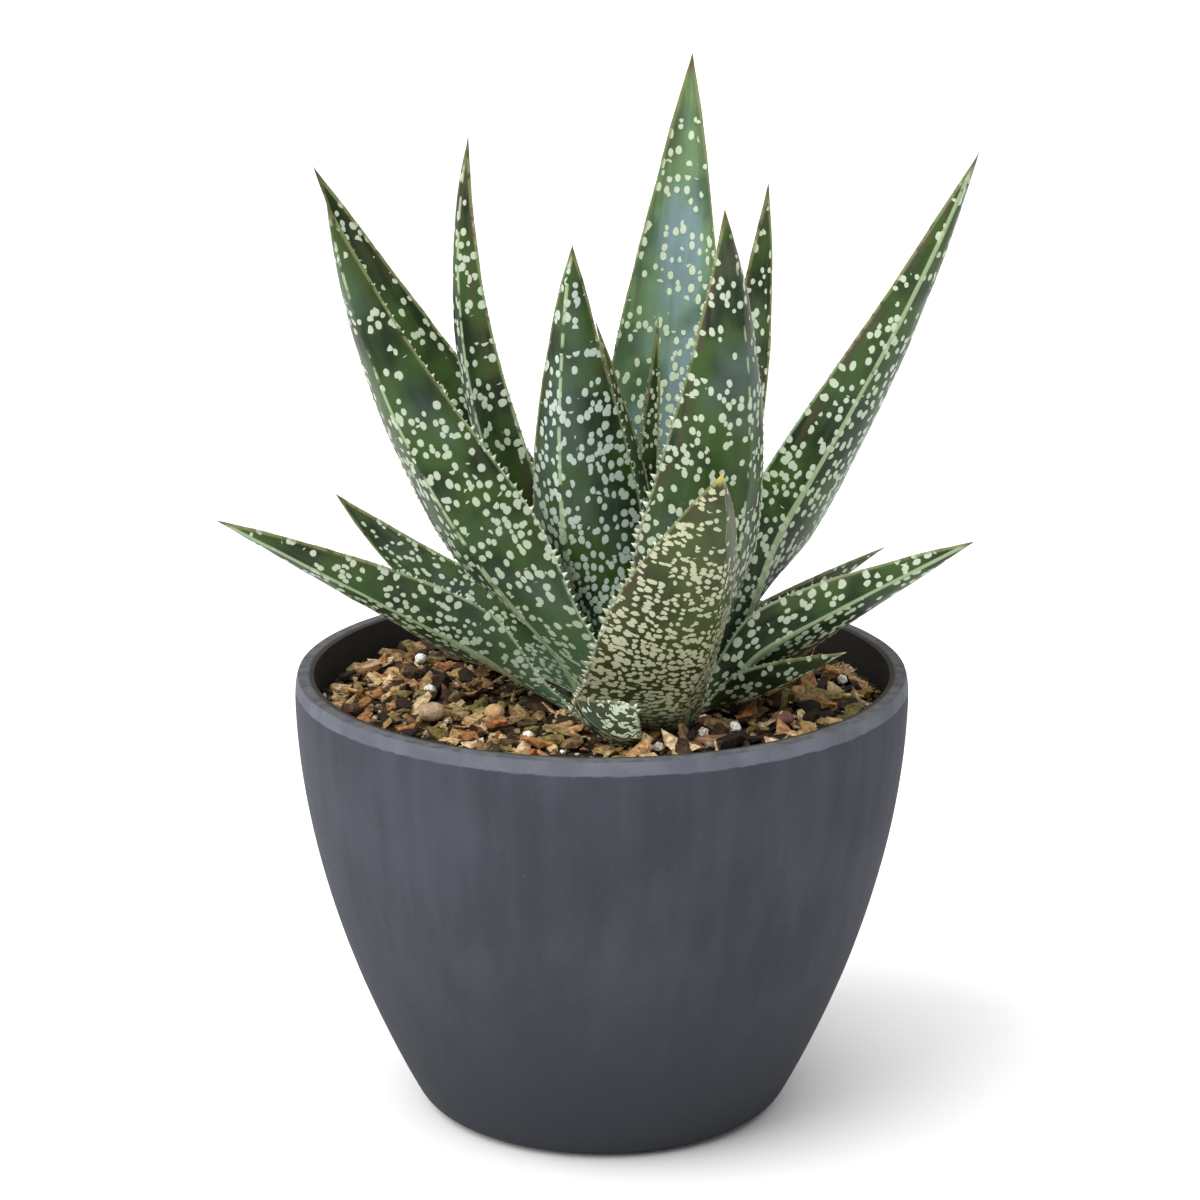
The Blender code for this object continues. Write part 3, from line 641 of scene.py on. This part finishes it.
def leaf_skin(name, look):
    """The skin of one leaf, laid out in mm by the marks on its vertices."""
    f = Finish(name + "_skin", 0.40, 0.25)
    skin_place = f.add("Attribute", attribute_name="leaf_mm").outputs["Vector"]
    zones = f.add("SeparateXYZ", {"Vector": f.add("Attribute", attribute_name="zones").outputs["Vector"]})
    share, edge, keel = zones.outputs[0], zones.outputs[1], zones.outputs[2]
    shift = (len(name) * 7.3, len(name) * 3.1, 0.0)
    own = f.add("Mapping", {"Vector": skin_place, "Location": shift}).outputs[0]

    # Ground: patchy green with a blue-grey painted sheen, brown towards the margins and a pale base
    patches = f.noise(13.0, 2.0, own)
    streaks = f.noise(1.6, 3.0, f.stretched((1.0, 0.07, 1.0), own))
    green = f.mix(f.ramp(patches, 0.38, 0.62), look.deep, look.bright)
    # Painted sheen: blue-grey patches away from the margins stand for the sky's reflection.
    bloom = f.math("MULTIPLY", f.ramp(f.noise(22.0, 2.0, own), 0.42, 0.66), f.ramp(edge, 1.0, 6.0))
    green = f.mix(f.math("MULTIPLY", bloom, look.bloom), green, look.wax)
    green = f.mix(f.math("MULTIPLY", f.ramp(streaks, 0.35, 0.75), 0.25), green, (0.06, 0.10, 0.03))
    brown = f.math("MULTIPLY", f.ramp(edge, 5.0, 0.5), f.ramp(streaks, 0.42, 0.60))
    green = f.mix(f.math("MULTIPLY", brown, look.blush), green, (0.060, 0.042, 0.024))
    pale = f.ramp(f.math("ADD", share, f.math("MULTIPLY", patches, 0.2)), 0.10 + look.pale, 0.02)
    green = f.mix(f.math("MULTIPLY", pale, 0.75), green, (0.13, 0.23, 0.13))

    # Spots: one to each cell of two layers, drawn by lot, more of them in cross bands and lower down
    waves = f.add("TexNoise", {"Vector": own, "Scale": 0.45, "Detail": 1.0}).outputs["Color"]
    waves = f.add("VectorMath", {0: waves, 1: (0.5, 0.5, 0.5)}, operation="SUBTRACT").outputs[0]
    bent = {0: waves, 1: (look.wave,) * 3, 2: own}
    warped = f.add("VectorMath", bent, operation="MULTIPLY_ADD").outputs[0]
    bands = f.noise(6.5, 1.0, f.stretched((0.45, 1.0, 0.45), warped))
    lower = f.ramp(share, 1.05, 0.05)
    chance = f.math("ADD", f.math("MULTIPLY", f.ramp(bands, 0.36, 0.60), look.banded),
                    f.math("MULTIPLY", lower, look.crowd))
    masks = []
    for size, offset, amount in ((look.spot, 0.0, 1.0), (0.8 * look.spot, 41.0, 0.45)):
        drawn = {"Vector": warped, "Location": (offset, 0.0, 0.0), "Scale": (look.dash, look.drawn, 1.0)}
        cells = f.cells(size, f.add("Mapping", drawn, vector_type="TEXTURE").outputs[0])
        cells.voronoi_dimensions = "2D"
        cells.inputs["Randomness"].default_value = 0.8
        lots = f.add("SeparateColor", {"Color": cells.outputs["Color"]}).outputs
        present = f.ramp(f.math("SUBTRACT", f.math("MULTIPLY", chance, amount), lots[0]), 0.0, 0.02)
        radius = f.math("ADD", f.math("MULTIPLY", lots[1], 0.12), look.size)
        inside = f.math("SUBTRACT", f.math("MULTIPLY", radius, present), cells.outputs["Distance"])
        masks.append(f.ramp(inside, -0.03, 0.05))
    spots = f.math("MAXIMUM", masks[0], masks[1])
    spots = f.math("MULTIPLY", spots, f.ramp(share, 0.995, 0.96))
    skin = f.mix(f.math("MULTIPLY", spots, 0.88), green, look.fleck)

    # Lines: the broken pale keel, the horny rim and the tip
    breaks = f.noise(4.0, 2.0, f.stretched((0.2, 1.0, 0.2), own))
    width = f.math("ADD", f.math("MULTIPLY", f.ramp(share, 0.5, -0.05), look.keel_base), look.keel)
    dashes = f.ramp(breaks, 0.50 - look.line, 0.60 - look.line)
    whole = f.math("MAXIMUM", dashes, f.ramp(share, 0.30, 0.15))
    line = f.math("MULTIPLY", f.ramp(f.math("SUBTRACT", width, keel), -0.20, 0.10), whole)
    skin = f.mix(f.math("MULTIPLY", line, 0.8), skin, (0.36, 0.46, 0.26))
    rim = f.math("MULTIPLY", f.ramp(edge, 0.95, 0.40), f.ramp(f.noise(2.2, 2.0, own), 0.25, 0.50))
    rim_colour = f.mix(f.ramp(share, 0.15, 0.75), (0.42, 0.55, 0.38), look.rim)
    skin = f.mix(f.math("MULTIPLY", rim, 0.8), skin, rim_colour)
    skin = f.mix(f.ramp(share, 0.955, 0.995), skin, look.tip)
    f.colour(skin)
    f.rough(f.math("ADD", f.math("MULTIPLY", f.noise(4.0, 3.0, own), 0.16), 0.34))
    relief = f.math("ADD", f.math("MULTIPLY", spots, 0.55), f.math("MULTIPLY", streaks, 0.5))
    relief = f.math("ADD", relief, f.math("MULTIPLY", f.noise(0.7, 3.0, own), 0.3))
    f.bump(relief, 0.16 * MM)
    return f.material


def horn():
    f = Finish("leaf_horn", 0.5, 0.5)
    tint = f.add("Attribute", attribute_name="tint").outputs["Fac"]
    tone = f.mix(tint, (0.40, 0.46, 0.28), (0.70, 0.74, 0.60))
    f.colour(f.mix(f.ramp(f.noise(0.9 * MM, 2.0), 0.55, 0.75), tone, (0.52, 0.48, 0.30)))
    f.bump(f.noise(0.3 * MM, 2.0), 0.05 * MM)
    return f.material


# What sets each leaf apart:
#   deep bright bloom wax   the two greens, and the strength and colour of the painted sheen
#   blush                   brown towards the margins
#   spot size fleck         cell of a spot in mm, a spot's least radius as a share of that, and its colour
#   banded crowd            how far the spots gather in cross bands, and lower down
#   dash drawn wave         how far the spots are drawn out across and along, and how wavy they are
#   keel keel_base line     half width of the keel line in mm, what it gains at the base, how whole it is
#   rim tip                 colours of the rim away from the base, and of the tip
#   teeth                   height of the teeth in mm
#   breadth pale            breadth of the clasping base (0 for none), and how far up it is pale
Look = namedtuple("Look", "deep bright bloom wax blush spot size fleck banded crowd dash drawn wave "
                          "keel keel_base line rim tip teeth breadth pale")
GREEN = Look(deep=(0.006, 0.019, 0.003), bright=(0.032, 0.074, 0.010), bloom=0.45, wax=(0.075, 0.115, 0.105),
             blush=0.35, spot=2.2, size=0.26, fleck=(0.50, 0.58, 0.43), banded=0.55, crowd=0.50,
             dash=0.90, drawn=1.20, wave=0.5, keel=0.28, keel_base=1.0, line=0.08,
             rim=(0.20, 0.22, 0.09), tip=(0.10, 0.07, 0.03), teeth=0.9, breadth=0.95, pale=0.15)
LOOKS = {
    "leaf_left_front_tall": GREEN._replace(bloom=0.6, spot=2.3, teeth=1.0, pale=0.30),
    "leaf_left_back_tall": GREEN._replace(bloom=0.2, teeth=0.4),
    "leaf_left_narrow": GREEN._replace(
        deep=(0.006, 0.016, 0.003), bright=(0.035, 0.075, 0.010), bloom=0.1, blush=0.9, keel=0.30,
        teeth=0.6),
    "leaf_middle_front": GREEN._replace(
        bloom=0.5, size=0.28, fleck=(0.50, 0.60, 0.52), crowd=0.65, keel=0.30, teeth=0.7),
    "leaf_middle_young": GREEN._replace(spot=1.8, teeth=0.3),
    # The strongest and palest painted sheen of all the leaves.
    "leaf_back_tallest": GREEN._replace(
        deep=(0.055, 0.110, 0.050), bright=(0.130, 0.225, 0.095), bloom=1.0, wax=(0.17, 0.26, 0.27),
        spot=2.4, fleck=(0.55, 0.64, 0.44), crowd=0.40, teeth=0.5),
    "leaf_inner_slip": GREEN._replace(bloom=0.9, spot=1.6, tip=(0.35, 0.36, 0.10), teeth=0.5),
    "leaf_right_front_tall": GREEN._replace(
        bloom=1.1, blush=0.9, crowd=0.60, keel=0.20, line=0.0, teeth=1.25),
    "leaf_right_back_narrow": GREEN._replace(blush=0.9, teeth=0.35),
    "leaf_right_long": GREEN._replace(bloom=0.15, blush=0.85, keel=0.42, line=0.25, teeth=0.4),
    "leaf_front_short": GREEN._replace(
        deep=(0.026, 0.038, 0.008), bright=(0.052, 0.074, 0.016), bloom=0.1, blush=0.9,
        spot=1.45, size=0.32, fleck=(0.54, 0.54, 0.36), banded=0.45, crowd=0.80, dash=1.3, drawn=0.85,
        wave=1.2, keel=0.0, keel_base=0.0, tip=(0.50, 0.42, 0.10), teeth=1.3, breadth=1.0),
    "leaf_right_low": GREEN._replace(bloom=0.3, keel=0.38, keel_base=1.5, line=0.25, teeth=0.5),
    "leaf_right_low_back": GREEN._replace(blush=1.0, teeth=0.3),
    "leaf_right_dry": GREEN._replace(
        deep=(0.006, 0.015, 0.003), bright=(0.018, 0.042, 0.009), spot=1.8, keel=0.3,
        tip=(0.42, 0.36, 0.24), teeth=0.6),
    "leaf_left_low": GREEN._replace(
        bloom=0.4, spot=2.0, keel=0.35, keel_base=1.5, line=0.2, teeth=0.6, pale=0.45),
    "leaf_left_low_back": GREEN._replace(bloom=0.5, spot=1.9, teeth=0.5, pale=0.35),
    "leaf_front_stub": GREEN._replace(
        deep=(0.016, 0.024, 0.007), bright=(0.035, 0.048, 0.014), spot=1.5, size=0.30, banded=0.5,
        crowd=0.9, dash=0.6, drawn=1.8, wave=2.4, keel=0.0, keel_base=0.0, tip=(0.30, 0.07, 0.02),
        teeth=1.2, breadth=0.0),
}
ROOTING_DEPTH = 2 * MM           # how far below the mix's surface a leaf's base ends
SWELL_SIZE = 9 * MM              # size and depth of the gentle swells on a blade
SWELL_DEPTH = 0.5 * MM
horn_finish = horn()
tooth = tooth_model()
for number, (name, look) in enumerate(LOOKS.items()):
    draw = Random(100 + number)
    shape = bmesh.new()
    shape.from_mesh(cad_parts[name].data)
    shape.verts.layers.float_vector.new("leaf_mm")
    shape.verts.layers.float_vector.new("zones")
    shape.verts.layers.float.new("crease_vert")
    shape.edges.layers.float.new("crease_edge")
    rings, tip = leaf_rings(shape)
    run = [0.0]
    for low, high in zip(rings, rings[1:] + [[tip]]):
        run.append(run[-1] + (middle(high) - middle(low)).length)
    shares = [length / run[-1] for length in run[:-1]]
    if look.breadth:
        clasp(rings, shares, look.breadth)
        root_in(shape, rings, shares, MIX_TOP - ROOTING_DEPTH)
    mark(shape, rings, tip, shares)
    bmesh.ops.recalc_face_normals(shape, faces=shape.faces)
    mesh = bpy.data.meshes.new(name)
    shape.to_mesh(mesh)
    shape.free()
    blade = bpy.data.objects.new(name + "_blade", mesh)
    bpy.context.scene.collection.objects.link(blade)
    modify(blade, "SUBSURF", levels=4, render_levels=4)
    roughen(blade, SWELL_SIZE, SWELL_DEPTH)
    blade.data.shade_smooth()
    blade.data.materials.append(leaf_skin(name, look))
    places = teeth_places(blade, look, draw)
    teeth = scattered(name + "_teeth", [tooth], places)
    teeth.data.materials.append(horn_finish)
    select_only(blade, teeth)
    bpy.ops.object.join()
    slot = "leaf_yellow_green" if name == "leaf_front_short" else "leaf_green"
    finished(blade, "root", slot, name)
bpy.data.objects.remove(tooth)


# -------------------------------------------------------------------------------------- the dressing
# The larger loose pieces on the mix: pebbles with a mineral grain, bark with fibres along its length and
# broken layers, and porous perlite. Each is roughened where it lies and has its own colours.

def stone(name, pale, dark):
    f = Finish(name, 0.7, 0.4)
    clouds = f.ramp(f.noise(2.0 * MM, 4.0), 0.35, 0.65)
    specks = f.ramp(f.cells(0.55 * MM).outputs["Distance"], 0.30, 0.18)
    colour = f.mix(clouds, dark, pale)
    colour = f.mix(f.math("MULTIPLY", specks, 0.5), colour, (0.09, 0.065, 0.05))
    f.colour(colour)
    f.rough(f.ramp(clouds, -1.5, 1.3))
    f.bump(f.math("ADD", f.noise(0.5 * MM, 4.0), f.math("MULTIPLY", clouds, 0.5)), 0.2 * MM)
    return f.material


def bark(name, pale, dark, heading):
    f = Finish(name, 0.85, 0.25)
    turned = f.add("Mapping", {"Vector": f.place, "Rotation": (0.0, 0.0, -radians(heading))}).outputs[0]
    fibres = f.noise(0.8 * MM, 5.0, f.stretched((0.15, 1.0, 1.0), turned))
    layers = f.ramp(f.noise(2.4 * MM, 3.0, f.stretched((0.4, 1.0, 2.5), turned)), 0.44, 0.56)
    colour = f.mix(layers, dark, pale)
    cracks = f.math("MULTIPLY", f.ramp(fibres, 0.52, 0.70), 0.7)
    f.colour(f.mix(cracks, colour, tuple(0.3 * part for part in dark)))
    f.bump(f.math("ADD", f.math("MULTIPLY", layers, 0.8), fibres), 0.5 * MM)
    return f.material


def perlite(name):
    f = Finish(name, 0.95, 0.3)
    pits = f.ramp(f.cells(0.5 * MM).outputs["Distance"], 0.15, 0.45)
    f.colour(f.mix(pits, (0.50, 0.47, 0.42), (0.86, 0.85, 0.81)))
    f.bump(f.math("ADD", pits, f.noise(0.6 * MM, 4.0)), 0.2 * MM)
    return f.material


DRESSING = {
    "pebble_tan": stone("stone_tan", (0.52, 0.38, 0.25), (0.36, 0.25, 0.16)),
    "pebble_warm": stone("stone_warm", (0.66, 0.42, 0.21), (0.48, 0.28, 0.13)),
    "pebble_grey": stone("stone_russet", (0.24, 0.115, 0.07), (0.15, 0.07, 0.045)),
    "bark_chip_oval": bark("bark_ochre", (0.42, 0.27, 0.12), (0.30, 0.17, 0.07), 80),
    "bark_chip_orange": bark("bark_orange", (0.42, 0.16, 0.05), (0.20, 0.07, 0.03), 30),
    "bark_chip_left": bark("bark_tan", (0.44, 0.29, 0.16), (0.22, 0.12, 0.055), 60),
    "bark_chip_dark": bark("bark_brown", (0.13, 0.060, 0.030), (0.055, 0.026, 0.014), 100),
    "bark_chip_right": bark("bark_amber", (0.50, 0.30, 0.10), (0.24, 0.12, 0.04), -50),
    "bark_chip_low": bark("bark_fawn", (0.48, 0.32, 0.17), (0.28, 0.17, 0.08), 30),
    "bark_chip_back": bark("bark_umber", (0.30, 0.16, 0.07), (0.13, 0.065, 0.03), 0),
    "bark_chip_behind": bark("bark_sienna", (0.34, 0.17, 0.07), (0.16, 0.08, 0.035), 40),
    "bark_strip_front": bark("bark_pinkish", (0.36, 0.19, 0.11), (0.19, 0.09, 0.05), 8),
    "bark_strip_left": bark("bark_straw", (0.52, 0.34, 0.15), (0.28, 0.16, 0.06), 165),
}
for node in ("perlite_left", "perlite_far_left", "perlite_front", "perlite_right", "perlite_edge"):
    DRESSING[node] = perlite(node + "_chalk")
LUMP_SIZE = 1.6 * MM
LUMP_DEPTH = {"pebble": 0.35 * MM, "bark": 0.7 * MM, "perlite": 0.35 * MM}
for node, finish in DRESSING.items():
    kind = node.split("_")[0]
    piece = cad_copy(node, node + "_lump")
    modify(piece, "SUBSURF", levels=3, render_levels=3)
    roughen(piece, LUMP_SIZE, LUMP_DEPTH[kind])
    piece.data.shade_smooth()
    piece.data.materials.append(finish)
    finished(piece, "root", kind, node)


# --------------------------------------------------------------------------------------- the studio
# A white floor that runs out of sight, under a large window light from the left and front, a broad
# light overhead and an even white sky. The camera looks slightly down on the pot, from the front.

bpy.ops.object.select_all(action="DESELECT")
FLOOR_SIDE = 16.0
bpy.ops.mesh.primitive_plane_add(size=FLOOR_SIDE, location=(0.0, 0.0, 0.0))
floor = bpy.context.object
floor.name = "studio_floor"
white = Finish("studio_white", 0.9, 0.1)
white.colour((0.93, 0.93, 0.93))
floor.data.materials.append(white.material)
world = bpy.data.worlds.new("studio")
world.use_nodes = True
sky = world.node_tree.nodes["Background"]
sky.inputs["Color"].default_value = (1.0, 1.0, 1.0, 1.0)
sky.inputs["Strength"].default_value = 0.42
bpy.context.scene.world = world
bpy.context.scene.view_settings.view_transform = "Standard"
LIGHTS = (("window", 2.4, 60, (0.80, 0.42, -0.80)), ("ceiling", 2.4, 90, (0.05, 0.10, -1.0)))
for name, power, spread, aim in LIGHTS:
    light = bpy.data.lights.new(name, "SUN")
    light.energy = power
    light.angle = radians(spread)
    lamp = bpy.data.objects.new(name, light)
    lamp.rotation_euler = Vector(aim).to_track_quat("-Z", "Y").to_euler()
    bpy.context.scene.collection.objects.link(lamp)
camera = bpy.data.objects.new("camera", bpy.data.cameras.new("camera"))
CAMERA_TILT = 15.53              # degrees down from level
camera.location = (0.0, -0.7037, 0.3058)
camera.rotation_euler = (radians(90 - CAMERA_TILT), 0.0, 0.0)
camera.data.lens = 104.1
camera.data.sensor_width = 36.0
camera.data.shift_x = -0.0015
bpy.context.scene.collection.objects.link(camera)
bpy.context.scene.camera = camera
